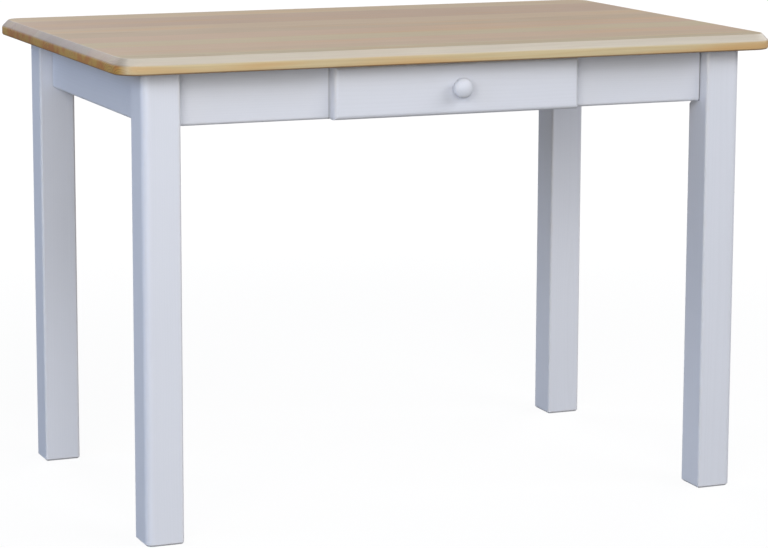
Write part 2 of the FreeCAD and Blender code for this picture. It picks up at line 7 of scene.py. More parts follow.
import bpy
import numpy as np
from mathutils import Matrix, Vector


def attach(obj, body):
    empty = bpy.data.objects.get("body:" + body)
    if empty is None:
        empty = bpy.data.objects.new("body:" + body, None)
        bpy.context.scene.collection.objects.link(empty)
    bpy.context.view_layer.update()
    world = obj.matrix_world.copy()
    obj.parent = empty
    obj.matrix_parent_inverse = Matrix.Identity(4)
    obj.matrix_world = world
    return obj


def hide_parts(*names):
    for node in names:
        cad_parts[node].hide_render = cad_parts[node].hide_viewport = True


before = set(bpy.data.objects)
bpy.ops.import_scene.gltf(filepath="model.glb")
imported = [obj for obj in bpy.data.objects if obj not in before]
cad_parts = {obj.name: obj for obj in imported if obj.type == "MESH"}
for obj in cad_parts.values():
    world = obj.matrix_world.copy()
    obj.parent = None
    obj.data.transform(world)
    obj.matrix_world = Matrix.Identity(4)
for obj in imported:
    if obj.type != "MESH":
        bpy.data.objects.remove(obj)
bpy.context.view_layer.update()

Colour = tuple[float, float, float, float]
Triple = tuple[float, float, float]
Socket = bpy.types.NodeSocket
Feed = Union[float, Sequence[float], Socket]

# The drawer's middle stands a little right of the table's.
DRAWER_X = 0.009
DOWN: Triple = (0.0, 0.0, -1.0)
SHARP_ANGLE = math.radians(32.0)

log = logging.getLogger("kitchen_table")


def chip(red: int, green: int, blue: int) -> Colour:
    """Turns a colour as a chart shows it into the linear one that light uses.

    Args:
        red: the red part, 0 to 255.
        green: the green part, 0 to 255.
        blue: the blue part, 0 to 255.

    Returns:
        The linear colour.
    """
    parts = [c / 255.0 for c in (red, green, blue)]
    linear = [c / 12.92 if c <= 0.04045 else ((c + 0.055) / 1.055) ** 2.4 for c in parts]
    return linear[0], linear[1], linear[2], 1.0


WHITE: Colour = (1.0, 1.0, 1.0, 1.0)


# ------------------------------------------------------------------ node graphs
class Graph:
    """Adds linked nodes to one node tree."""

    def __init__(self, tree: bpy.types.NodeTree) -> None:
        """Keeps the tree that the nodes go into."""
        self.tree = tree

    def feed(self, socket: Socket, value: Feed) -> None:
        """Links a socket to an input, or sets the input's own value.

        Args:
            socket: the input.
            value: the output that feeds it, or its own value.
        """
        if isinstance(value, bpy.types.NodeSocket):
            self.tree.links.new(value, socket)
        else:
            socket.default_value = value

    def node(self, kind: str, inputs: Optional[Mapping[Union[str, int], Feed]] = None,
             **settings: object) -> bpy.types.Node:
        """Makes one node.

        Args:
            kind: the node's type name, without the ShaderNode in front.
            inputs: what each input socket, by name or number, is fed.
            settings: the node's own options.

        Returns:
            The node.
        """
        made = self.tree.nodes.new("ShaderNode" + kind)
        for name, value in settings.items():
            setattr(made, name, value)
        for key, value in (inputs or {}).items():
            self.feed(made.inputs[key], value)
        return made

    def math(self, operation: str, first: Feed, second: Feed = 0.0) -> Socket:
        """One arithmetic step on two numbers."""
        return self.node("Math", {0: first, 1: second}, operation=operation).outputs[0]

    def plus(self, first: Feed, second: Feed) -> Socket:
        """The sum of two numbers."""
        return self.math("ADD", first, second)

    def minus(self, first: Feed, second: Feed) -> Socket:
        """The first number less the second."""
        return self.math("SUBTRACT", first, second)

    def times(self, first: Feed, second: Feed) -> Socket:
        """The product of two numbers."""
        return self.math("MULTIPLY", first, second)

    def unsigned(self, value: Feed) -> Socket:
        """A number without its sign."""
        return self.math("ABSOLUTE", value)

    def ease(self, value: Feed, low: float, high: float, start: float = 0.0,
             end: float = 1.0) -> Socket:
        """Carries a number smoothly from start at low to end at high.

        Args:
            value: the number.
            low: where the change begins.
            high: where it ends.
            start: the result below low.
            end: the result above high.

        Returns:
            The eased number.
        """
        inputs = {"Value": value, "From Min": low, "From Max": high, "To Min": start, "To Max": end}
        return self.node("MapRange", inputs, interpolation_type="SMOOTHSTEP").outputs[0]

    def blend(self, share: Feed, under: Feed, over: Feed, mode: str = "MIX") -> Socket:
        """Lays one colour over another.

        Args:
            share: how much of the upper colour shows, 0 to 1.
            under: the lower colour.
            over: the upper colour.
            mode: how the two are combined.

        Returns:
            The mixed colour.
        """
        inputs = {0: share, 6: under, 7: over}
        return self.node("Mix", inputs, data_type="RGBA", blend_type=mode).outputs[2]

    def dim(self, colour: Feed, light: Feed) -> Socket:
        """A colour multiplied by one number."""
        return self.blend(1.0, colour, self.join(light, light, light), "MULTIPLY")

    def stretch(self, vector: Feed, factors: Triple) -> Socket:
        """Multiplies a vector by one factor an axis."""
        return self.node("VectorMath", {0: vector, 1: factors}, operation="MULTIPLY").outputs[0]

    def noise(self, vector: Feed, scale: float, detail: float = 2.0,
              roughness: float = 0.5) -> Socket:
        """Soft random values, 0 to 1, that change over about one part in scale of a metre."""
        inputs = {"Vector": vector, "Scale": scale, "Detail": detail, "Roughness": roughness}
        return self.node("TexNoise", inputs).outputs[0]

    def split(self, vector: Feed) -> list[Socket]:
        """The three numbers of a vector."""
        return list(self.node("SeparateXYZ", {0: vector}).outputs)

    def join(self, x: Feed, y: Feed, z: Feed) -> Socket:
        """A vector from three numbers."""
        return self.node("CombineXYZ", {0: x, 1: y, 2: z}).outputs[0]


class SharedEffect:
    """A shader node group, built once and placed in every material that needs it."""

    name = "shared effect"
    takes: Mapping[str, str] = {}
    gives: Mapping[str, str] = {}

    def wire(self, graph: Graph, given: Mapping[str, Socket]) -> Mapping[str, Socket]:
        """Makes the group's nodes and says which socket feeds each output."""
        raise NotImplementedError

    def tree(self) -> bpy.types.NodeTree:
        """Makes the group's node tree on first use.

        Returns:
            The tree.
        """
        found = bpy.data.node_groups.get(self.name)
        if found is not None:
            return found
        tree = bpy.data.node_groups.new(self.name, "ShaderNodeTree")
        for way, sockets in (("INPUT", self.takes), ("OUTPUT", self.gives)):
            for title, kind in sockets.items():
                tree.interface.new_socket(title, in_out=way, socket_type="NodeSocket" + kind)
        entry = tree.nodes.new("NodeGroupInput")
        leave = tree.nodes.new("NodeGroupOutput")
        graph = Graph(tree)
        made = self.wire(graph, {title: entry.outputs[title] for title in self.takes})
        for title in self.gives:
            graph.feed(leave.inputs[title], made[title])
        return tree

    def place(self, graph: Graph, inputs: Mapping[str, Feed]) -> Mapping[str, Socket]:
        """Puts the group into a material.

        Args:
            graph: the material's graph.
            inputs: what each of the group's inputs is fed.

        Returns:
            The group's output sockets by name.
        """
        node = graph.node("Group", node_tree=self.tree())
        for title, value in inputs.items():
            graph.feed(node.inputs[title], value)
        return {title: node.outputs[title] for title in self.gives}


class TimberGrain(SharedEffect):
    """Growth rings, fibres and glued staves of solid softwood.

    Each stave has a pith of its own, some way above or below the board. The distance to it,
    divided by the ring width, counts the rings; the fraction is dark where late wood is. A
    face along the grain cuts the rings into lines and flames, and an end cuts them into arcs.

    Drift and ripple are how far the rings wander slowly and quickly, and season makes some
    years wider and darker. A name with grain gives the rates of a noise along, across and
    through the board.
    """

    name = "timber grain"
    takes = {"Vector": "Vector", "Normal": "Vector", "Stave Width": "Float",
             "Ring Width": "Float", "Seed": "Float"}
    gives = {"Latewood": "Float", "Fibre": "Float", "Tone": "Float", "Warmth": "Float",
             "Seam": "Float", "End": "Float"}

    uneven_staves: float = 0.45
    pith_aside: float = 0.15
    pith_depth: tuple[float, float] = (0.015, 0.085)
    stave_shift: float = 9.0
    drift_grain: Triple = (1.3, 7.0, 7.0)
    drift: float = 0.028
    ripple_grain: Triple = (9.0, 60.0, 60.0)
    ripple: float = 0.0012
    fibre_grain: Triple = (7.0, 420.0, 420.0)
    season_rate: float = 0.45
    season_spread: float = 1.6
    seam_reach: tuple[float, float] = (0.0001, 0.0006)

    def wire(self, graph: Graph, given: Mapping[str, Socket]) -> Mapping[str, Socket]:
        """Deals out the staves, and draws each one's rings and fibres.

        Args:
            graph: the group's graph.
            given: the group's inputs by name.

        Returns:
            What feeds each of its outputs.
        """
        along, across, through = graph.split(given["Vector"])
        width = given["Stave Width"]
        place = graph.plus(graph.math("DIVIDE", across, width), given["Seed"])
        staves = {"W": place, "Scale": 1.0, "Randomness": self.uneven_staves}
        cell = graph.node("TexVoronoi", staves, voronoi_dimensions="1D")
        gap = graph.node("TexVoronoi", staves, voronoi_dimensions="1D", feature="DISTANCE_TO_EDGE")
        luck = graph.node("SeparateColor", {0: cell.outputs["Color"]}).outputs
        off_middle = graph.times(graph.minus(place, cell.outputs["W"]), width)
        edge = graph.times(gap.outputs["Distance"], width)
        shifted = graph.join(graph.plus(along, graph.times(luck[0], self.stave_shift)),
                             across, graph.plus(through, luck[1]))
        radius = self.from_pith(graph, off_middle, through, luck)
        drift = graph.noise(graph.stretch(shifted, self.drift_grain), 1.0, 2.0)
        ripple = graph.noise(graph.stretch(shifted, self.ripple_grain), 1.0, 1.0)
        radius = graph.plus(radius, graph.times(drift, self.drift))
        radius = graph.plus(radius, graph.times(ripple, self.ripple))
        near, far = self.seam_reach
        facing = graph.unsigned(graph.split(given["Normal"])[0])
        return {
            "Latewood": self.late_wood(graph, graph.math("DIVIDE", radius, given["Ring Width"]),
                                       luck[1]),
            "Fibre": graph.noise(graph.stretch(shifted, self.fibre_grain), 1.0, 3.0, 0.6),
            "Tone": luck[0],
            "Warmth": luck[2],
            "Seam": graph.ease(edge, near, far, 1.0, 0.0),
            "End": graph.ease(facing, 0.55, 0.9),
        }

    def from_pith(self, graph: Graph, off_middle: Socket, through: Socket,
                  luck: Sequence[Socket]) -> Socket:
        """The root of the squared distances to the stave's pith, sideways and in depth.

        Args:
            graph: the group's graph.
            off_middle: the distance from the middle of the stave.
            through: the place in the board's thickness.
            luck: the stave's three random numbers.

        Returns:
            The distance.
        """
        aside = graph.times(graph.minus(luck[0], 0.5), self.pith_aside)
        low, high = self.pith_depth
        depth = graph.ease(luck[1], 0.0, 1.0, low, high)
        below = graph.math("SIGN", graph.minus(luck[2], 0.5))
        far_y = graph.minus(off_middle, aside)
        far_z = graph.plus(through, graph.times(depth, below))
        return graph.math("SQRT", graph.plus(graph.times(far_y, far_y), graph.times(far_z, far_z)))

    def late_wood(self, graph: Graph, rings: Socket, stave: Socket) -> Socket:
        """Rises over the second half of each year and falls at its end, more in some years.

        Args:
            graph: the group's graph.
            rings: the number of rings from the pith.
            stave: a random number of the stave.

        Returns:
            How dark the ring is here.
        """
        season = graph.noise(graph.join(rings, stave, 0.0), self.season_rate, 1.0)
        year = graph.math("FRACT", graph.plus(rings, graph.times(season, self.season_spread)))
        late = graph.times(graph.ease(year, 0.35, 0.9), graph.ease(year, 0.94, 1.0, 1.0, 0.0))
        return graph.times(late, graph.plus(graph.times(season, 0.9), 0.3))


class SoftMottle(SharedEffect):
    """Slow unevenness over a surface."""

    name = "soft mottle"
    takes = {"Vector": "Vector", "Size": "Float"}
    gives = {"Cloud": "Float"}

    def wire(self, graph: Graph, given: Mapping[str, Socket]) -> Mapping[str, Socket]:
        """Divides the place by the size, and reads a slow noise there.

        Args:
            graph: the group's graph.
            given: the group's inputs by name.

        Returns:
            What feeds its output.
        """
        inverse = graph.math("DIVIDE", 1.0, given["Size"])
        scaled = graph.node("VectorMath", {0: given["Vector"], 3: inverse}, operation="SCALE").outputs[0]
        return {"Cloud": graph.noise(scaled, 1.0, 3.0)}


class ThinArris(SharedEffect):
    """Where two faces of a box-shaped piece meet, and a film lies thinner or is rubbed."""

    name = "thin arris"
    takes = {"Vector": "Vector", "Half Size": "Vector", "Reach": "Float"}
    gives = {"Mask": "Float"}

    wobble_rate: float = 55.0

    def wire(self, graph: Graph, given: Mapping[str, Socket]) -> Mapping[str, Socket]:
        """The second smallest distance to the three pairs of faces, eased over the reach.

        Args:
            graph: the group's graph.
            given: the group's inputs by name.

        Returns:
            What feeds its output.
        """
        size = graph.node("VectorMath", {0: given["Vector"]}, operation="ABSOLUTE").outputs[0]
        depth = graph.node("VectorMath", {0: given["Half Size"], 1: size}, operation="SUBTRACT")
        x, y, z = graph.split(depth.outputs[0])
        low = graph.math("MINIMUM", graph.math("MAXIMUM", x, y), graph.math("MAXIMUM", y, z))
        low = graph.math("MINIMUM", low, graph.math("MAXIMUM", x, z))
        wobble = graph.minus(graph.noise(given["Vector"], self.wobble_rate, 2.0), 0.5)
        share = graph.plus(graph.math("DIVIDE", low, given["Reach"]), wobble)
        return {"Mask": graph.ease(share, 0.0, 1.0, 1.0, 0.0)}


# ------------------------------------------------------------------ finishes
class Run(Enum):
    """Which way the grain of a piece runs: the order of X, Y and Z as along, across, through."""

    ALONG_X = (0, 1, 2)
    ALONG_Y = (1, 0, 2)
    UPRIGHT = (2, 0, 1)


@dataclass(frozen=True)
class Spot:
    """Where a pattern sits on one piece."""

    run: Run
    centre: Triple
    half: Triple
    seed: float

    def reach(self, way: int) -> float:
        """Half the piece's size along, across or through the grain, for 0, 1 or 2."""
        return self.half[self.run.value[way]]

    def coordinates(self, graph: Graph) -> tuple[Socket, Socket, Socket]:
        """Places the pattern on the piece.

        Args:
            graph: the material's graph.

        Returns:
            The place from the piece's middle, then the place and the normal in the order
            along, across and through the grain.
        """
        source = graph.node("TexCoord")
        shift = tuple(-c for c in self.centre)
        local = graph.node("Mapping", {"Vector": source.outputs["Object"], "Location": shift}).outputs[0]
        ordered = []
        for vector in (local, source.outputs["Normal"]):
            parts = graph.split(vector)
            ordered.append(graph.join(*(parts[axis] for axis in self.run.value)))
        return local, ordered[0], ordered[1]


class Finish:
    """What all finishes share: one material for each piece, set out on its own spot."""

    title: str

    def paint(self, graph: Graph, spot: Spot) -> Mapping[str, Feed]:
        """Makes the nodes and says what each socket of the shader gets."""
        raise NotImplementedError

    def material(self, name: str, spot: Spot) -> bpy.types.Material:
        """Builds the finish as a material.

        Args:
            name: the piece that it is for.
            spot: where the pattern sits.

        Returns:
            The material.
        """
        made = bpy.data.materials.new(f"{self.title} {name}")
        made.use_nodes = True
        made.node_tree.nodes.clear()
        graph = Graph(made.node_tree)
        shader = graph.node("BsdfPrincipled")
        for title, value in self.paint(graph, spot).items():
            graph.feed(shader.inputs[title], value)
        graph.node("OutputMaterial", {"Surface": shader.outputs[0]})
        return made

    def dress(self, piece: bpy.types.Object, run: Run, seed: float = 0.0) -> None:
        """Gives one piece its own copy of the finish.

        Args:
            piece: the object, which stands in its place in its mesh.
            run: which way its grain runs.
            seed: shifts the staves, so that no two pieces show the same timber.
        """
        corners = np.empty(len(piece.data.vertices) * 3)
        piece.data.vertices.foreach_get("co", corners)
        low = corners.reshape(-1, 3).min(axis=0)
        high = corners.reshape(-1, 3).max(axis=0)
        spot = Spot(run, tuple((low + high) / 2), tuple((high - low) / 2), seed)
        made = self.material(piece.name, spot)
        if piece.material_slots:
            for slot in piece.material_slots:
                slot.material = made
        else:
            piece.data.materials.append(made)


@dataclass(frozen=True)
class ClearPine(Finish):
    """Pine under a clear coat, or bare: rings, fibres and staves, darker where the ends show.

    Early and late are the two parts of a ring and warm is the tint of some staves. End, end_dark
    and end_late show across the ends, and side on the long sides. Under is painted shade on the
    faces that look down, most on the lower round of an edge. The two bevel colours are painted
    light on the upward-facing eased edges: a painted highlight along the grain and a painted
    reflection across the ends. Each shade is how much its pattern darkens the wood, down from
    lightest.
    """

    title: str
    early: Colour
    late: Colour
    warm: Colour
    resin: Colour
    end: Colour
    end_dark: Colour
    # The under colour is painted shade on the faces that look down.
    under: Colour
    stave_width: float
    ring_width: float
    roughness: float
    stave_contrast: float
    coat: float = 0.0
    side: Colour = WHITE
    side_share: float = 0.0
    # The bevel colours below are painted light: a highlight along the grain and a reflection across the
    # ends.
    bevel_highlight: Colour = WHITE
    end_bevel_reflection: Colour = WHITE
    bevel_sheen_share: float = 0.0
    end_late: Colour = chip(112, 62, 24)
    sapwood_edge: float = 0.0
    resin_grain: Triple = (2.6, 34.0, 34.0)
    cloud_size: float = 0.22
    blotch_rate: float = 45.0
    lightest: float = 1.17
    fibre_shade: float = 0.2
    stave_shade: float = 0.25
    cloud_shade: float = 0.12
    seam_shade: float = 0.2
    uneven_gloss: float = 0.12
    coat_roughness: float = 0.4
    bump_depth: float = 0.00012
    bump_strength: float = 0.6

    def paint(self, graph: Graph, spot: Spot) -> Mapping[str, Feed]:
        """Lays the ends over the faces, adds painted sheen on the bevels and painted shade where faces
        look down, and shades all of it by the grain.

        Args:
            graph: the material's graph.
            spot: where the pattern sits.

        Returns:
            What each socket of the shader gets.
        """
        local, grain, normal = spot.coordinates(graph)
        wood = TimberGrain().place(graph, {
            "Vector": grain, "Normal": normal, "Stave Width": self.stave_width,
            "Ring Width": self.ring_width, "Seed": spot.seed})
        cloud = SoftMottle().place(graph, {"Vector": local, "Size": self.cloud_size})["Cloud"]
        facing, _, rise = graph.split(normal)
        colour = self.faces(graph, spot, grain, rise, wood)
        colour = graph.blend(wood["End"], colour, self.ends(graph, grain, wood))
        # Painted highlight and painted reflection on the upward-facing bevels.
        if self.bevel_sheen_share > 0.0:
            colour = self.painted_bevel_sheen(graph, colour, facing, rise, cloud)
        # Painted shade: faces that look down, most of all the lower round of an edge, take on the under
        # colour.
        lower = graph.times(graph.ease(rise, -0.7, -0.1, 0.7, 0.0),
                            graph.ease(rise, -0.999, -0.95, 0.3, 1.0))
        colour = graph.blend(lower, colour, self.under)
        shade = graph.plus(graph.times(wood["Fibre"], self.fibre_shade),
                           graph.times(wood["Tone"], self.stave_contrast * self.stave_shade))
        shade = graph.plus(shade, graph.times(cloud, self.cloud_shade))
        shade = graph.plus(shade, graph.times(wood["Seam"], self.seam_shade))
        height = graph.minus(graph.times(wood["Latewood"], 0.6),
                             graph.plus(wood["Seam"], graph.times(wood["Fibre"], 0.5)))
        bump = graph.node("Bump", {"Height": height, "Distance": self.bump_depth,
                                   "Strength": self.bump_strength})
        return {"Base Color": graph.dim(colour, graph.minus(self.lightest, shade)),
                "Roughness": graph.plus(self.roughness - self.uneven_gloss / 2.0,
                                        graph.times(cloud, self.uneven_gloss)),
                "Normal": bump.outputs[0], "Coat Weight": self.coat,
                "Coat Roughness": self.coat_roughness}

    def faces(self, graph: Graph, spot: Spot, grain: Socket, rise: Socket,
              wood: Mapping[str, Socket]) -> Socket:
        """Early wood darkened by rings and tinted stave by stave, with long streaks of resin.

        The staves within the sapwood edge stay untinted, and the long sides are yellower and
        have more resin.

        Args:
            graph: the material's graph.
            spot: where the pattern sits.
            grain: the place along, across and through the grain.
            rise: how far the surface faces across the piece's thickness.
            wood: the timber grain's values.

        Returns:
            The colour of the faces along the grain.
        """
        from_edge = graph.plus(graph.split(grain)[1], spot.reach(1))
        heart = graph.ease(from_edge, self.sapwood_edge - 0.001, self.sapwood_edge)
        tint = graph.times(graph.times(wood["Warmth"], heart), self.stave_contrast)
        colour = graph.blend(tint, self.early, self.warm)
        colour = graph.blend(graph.times(wood["Latewood"], 0.5), colour, self.late)
        side: Feed = 0.0
        if self.side_share > 0.0:
            side = graph.times(graph.ease(graph.unsigned(rise), 0.1, 0.7, 1.0, 0.0), self.side_share)
            colour = graph.blend(side, colour, self.side)
        resin = graph.ease(graph.noise(graph.stretch(grain, self.resin_grain), 1.0, 2.0), 0.5, 0.74)
        return graph.blend(graph.times(resin, graph.plus(side, 0.4)), colour, self.resin)

    def ends(self, graph: Graph, grain: Socket, wood: Mapping[str, Socket]) -> Socket:
        """End grain between two browns, by stave and in blotches, with the rings as dark arcs.

        Args:
            graph: the material's graph.
            grain: the place along, across and through the grain.
            wood: the timber grain's values.

        Returns:
            The colour of the ends.
        """
        blotch = graph.ease(graph.noise(grain, self.blotch_rate, 3.0), 0.38, 0.62, -0.2, 0.75)
        share = graph.plus(graph.times(wood["Tone"], 0.45), blotch)
        colour = graph.blend(share, self.end, self.end_dark)
        return graph.blend(graph.times(wood["Latewood"], 0.55), colour, self.end_late)

    def painted_bevel_sheen(self, graph: Graph, colour: Socket, facing: Socket, rise: Socket,
                   cloud: Socket) -> Socket:
        """Rubs the eased upper edges, evenly along the grain and in patches across the ends.

        Args:
            graph: the material's graph.
            colour: what the painted sheen lies over.
            facing: how far the surface faces along the grain.
            rise: how far it faces across the piece's thickness.
            cloud: the slow unevenness.

        Returns:
            The worn colour.
        """
        eased = graph.times(graph.ease(rise, 0.2, 0.6), graph.ease(rise, 0.9, 0.995, 1.0, 0.0))
        across_end = graph.ease(graph.unsigned(facing), 0.4, 0.7)
        patchy = graph.times(across_end, graph.ease(cloud, 0.4, 0.6, 0.25, 0.0))
        share = graph.times(eased, graph.minus(self.bevel_sheen_share, patchy))
        return graph.blend(share, colour, graph.blend(across_end, self.bevel_highlight, self.end_bevel_reflection))


@dataclass(frozen=True)
class CoverPaint(Finish):
    """An opaque satin paint through which the grain just shows, thinner on the arrises.

    Painted shade darkens a board's ends where they meet another piece, fading out over
    joint_reach. Closing is the middle and the half width of the two upright lines on which a
    drawer front closes, and along them half as much painted shade lies. Each shade is how much
    its pattern darkens the film, down from lightest.
    """

    title: str
    film: Colour
    thin: Colour
    # The colour of the painted shade at the ends and along the closing lines.
    joint_shade: Colour
    roughness: float
    joint_reach: float = 0.0
    closing: Optional[tuple[float, float]] = None
    stave_width: float = 0.14
    ring_width: float = 0.0035
    cloud_size: float = 0.16
    arris_reach: float = 0.006
    thin_share: float = 0.35
    joint_shade_share: float = 0.7
    lightest: float = 1.033
    ring_shade: float = 0.02
    fibre_shade: float = 0.02
    cloud_shade: float = 0.05
    uneven_gloss: float = 0.1
    streak_grain: Triple = (12.0, 260.0, 260.0)
    bump_depth: float = 0.0001
    bump_strength: float = 0.28

    def paint(self, graph: Graph, spot: Spot) -> Mapping[str, Feed]:
        """A plain film, slightly shaded by the rings below and warmer where it is thin.

        Args:
            graph: the material's graph.
            spot: where the pattern sits.

        Returns:
            What each socket of the shader gets.
        """
        local, grain, normal = spot.coordinates(graph)
        wood = TimberGrain().place(graph, {
            "Vector": grain, "Normal": normal, "Stave Width": self.stave_width,
            "Ring Width": self.ring_width, "Seed": spot.seed})
        cloud = SoftMottle().place(graph, {"Vector": local, "Size": self.cloud_size})["Cloud"]
        arris = ThinArris().place(graph, {"Vector": local, "Half Size": spot.half,
                                          "Reach": self.arris_reach})
        colour = graph.blend(graph.times(arris["Mask"], self.thin_share), self.film, self.thin)
        # Painted shade on the board's ends, and along the closing lines where there are any.
        if self.joint_reach > 0.0:
            painted_joint_shade = self.painted_joint_shade(graph, spot, graph.split(grain)[0])
            colour = graph.blend(graph.times(painted_joint_shade, self.joint_shade_share), colour, self.joint_shade)
        shade = graph.plus(graph.times(wood["Latewood"], self.ring_shade),
                           graph.times(cloud, self.cloud_shade))
        shade = graph.plus(shade, graph.times(wood["Fibre"], self.fibre_shade))
        streaks = graph.noise(graph.stretch(grain, self.streak_grain), 1.0, 2.0)
        height = graph.plus(graph.times(streaks, 0.5), graph.times(wood["Latewood"], 0.5))
        bump = graph.node("Bump", {"Height": height, "Distance": self.bump_depth,
                                   "Strength": self.bump_strength})
        return {"Base Color": graph.dim(colour, graph.minus(self.lightest, shade)),
                "Roughness": graph.plus(self.roughness - self.uneven_gloss / 2.0,
                                        graph.times(cloud, self.uneven_gloss)),
                "Normal": bump.outputs[0]}

    def painted_joint_shade(self, graph: Graph, spot: Spot, along: Socket) -> Socket:
        """Painted shade at the board's ends, and half as much along the closing lines.

        Args:
            graph: the material's graph.
            spot: where the pattern sits.
            along: the place along the grain.

        Returns:
            How much painted shade lies here.
        """
        gap = graph.minus(spot.reach(0), graph.unsigned(along))
        painted_joint_shade = graph.ease(gap, self.joint_reach * 0.5, self.joint_reach, 1.0, 0.0)
        if self.closing:
            middle, half_width = self.closing
            off = graph.unsigned(graph.minus(graph.unsigned(graph.minus(along, middle)), half_width))
            line = graph.ease(off, self.joint_reach * 0.3, self.joint_reach * 0.7, 0.5, 0.0)
            painted_joint_shade = graph.math("MAXIMUM", painted_joint_shade, line)
        return painted_joint_shade


@dataclass(frozen=True)
class PlatedMetal(Finish):
    """Bright plated or turned metal with rolling lines and dull spots."""

    title: str
    metal: Colour
    roughness: float
    dull: Colour = chip(120, 122, 126)
    dull_share: float = 0.35
    cloud_size: float = 0.02
    uneven_gloss: float = 0.2
    line_grain: Triple = (60.0, 2600.0, 2600.0)
    bump_depth: float = 0.00003
    bump_strength: float = 0.5

    def paint(self, graph: Graph, spot: Spot) -> Mapping[str, Feed]:
        """One metal colour, with roughness and height from fine lines and clouds.

        Args:
            graph: the material's graph.
            spot: where the pattern sits.

        Returns:
            What each socket of the shader gets.
        """
        local, grain, _ = spot.coordinates(graph)
        cloud = SoftMottle().place(graph, {"Vector": local, "Size": self.cloud_size})["Cloud"]
        lines = graph.noise(graph.stretch(grain, self.line_grain), 1.0, 2.0)
        bump = graph.node("Bump", {"Height": lines, "Distance": self.bump_depth,
                                   "Strength": self.bump_strength})
        return {"Base Color": graph.blend(graph.times(cloud, self.dull_share), self.metal, self.dull),
                "Metallic": 1.0,
                "Roughness": graph.plus(self.roughness, graph.times(cloud, self.uneven_gloss)),
                "Normal": bump.outputs[0]}


# Painted light here: the under colour is painted shade on faces that look down, and the last two colours
# are a painted highlight and a painted reflection on the bevels.
LACQUERED_PINE = ClearPine("lacquered pine", early=chip(200, 182, 146), late=chip(181, 145, 102),
                           warm=chip(206, 165, 142), resin=chip(214, 172, 114),
                           end=chip(192, 152, 76), end_dark=chip(184, 118, 56),
                           under=chip(132, 84, 42), stave_width=0.072, ring_width=0.0042,
                           roughness=0.55, stave_contrast=0.6, coat=0.12, sapwood_edge=0.062,
                           side=chip(226, 206, 156), side_share=0.5, bevel_highlight=chip(228, 220, 206),
                           end_bevel_reflection=chip(135, 129, 132), bevel_sheen_share=0.7)
BARE_PINE = ClearPine("bare pine", early=chip(222, 196, 156), late=chip(190, 142, 92),
                      warm=chip(214, 180, 138), resin=chip(216, 172, 116),
                      end=chip(206, 164, 112), end_dark=chip(186, 138, 88),
                      under=chip(214, 186, 146), stave_width=0.2, ring_width=0.0036,
                      roughness=0.62, stave_contrast=0.3)
THIN_PANEL = ClearPine("thin panel", early=chip(208, 176, 136), late=chip(184, 140, 100),
                       warm=chip(200, 160, 120), resin=chip(196, 150, 104),
                       end=chip(150, 110, 72), end_dark=chip(132, 92, 60),
                       under=chip(200, 166, 126), stave_width=0.9, ring_width=0.009,
                       roughness=0.55, stave_contrast=0.2)
# The dark third colour is used only as painted shade, by the two finishes after it.
WHITE_PAINT = CoverPaint("white paint", film=chip(226, 229, 237), thin=chip(222, 218, 214),
                         joint_shade=chip(70, 70, 78), roughness=0.45)
# Painted shade on the boards' ends where they meet the legs; on the front apron also along the drawer
# front's closing lines.
JOINT_SHADED_PAINT = replace(WHITE_PAINT, joint_reach=0.0032)
CLOSING_SHADED_PAINT = replace(JOINT_SHADED_PAINT, closing=(DRAWER_X, 0.208))
ZINC = PlatedMetal("zinc", metal=chip(196, 198, 204), roughness=0.28)
BRASS = PlatedMetal("brass", metal=chip(208, 172, 96), roughness=0.3)
YELLOW_ZINC = PlatedMetal("yellow zinc", metal=chip(206, 180, 118), roughness=0.34)


# ------------------------------------------------------------------ studio
@dataclass(frozen=True)
class Lamp:
    """A wide soft lamp that faces the table, with its bearing from the front to the right."""

    name: str
    bearing: float
    above: float
    power: float
    tint: Triple
    distance: float = 10.0
    width: float = 8.0
    height: float = 4.0

    def build(self, target: Triple) -> None:
        """Hangs the lamp at its bearing and height, turned to the target.

        Args:
            target: the point that it faces.
        """
        bearing, above = math.radians(self.bearing), math.radians(self.above)
        away = np.array([math.sin(bearing) * math.cos(above),
                         -math.cos(bearing) * math.cos(above), math.sin(above)])
        data = bpy.data.lights.new(self.name, "AREA")
        data.shape = "RECTANGLE"
        data.size = self.width
        data.size_y = self.height
        data.energy = self.power
        data.color = self.tint
        lamp = bpy.data.objects.new(self.name, data)
        bpy.context.scene.collection.objects.link(lamp)
        lamp.location = np.add(target, away * self.distance)
        lamp.rotation_euler = Vector(away).to_track_quat("Z", "Y").to_euler()


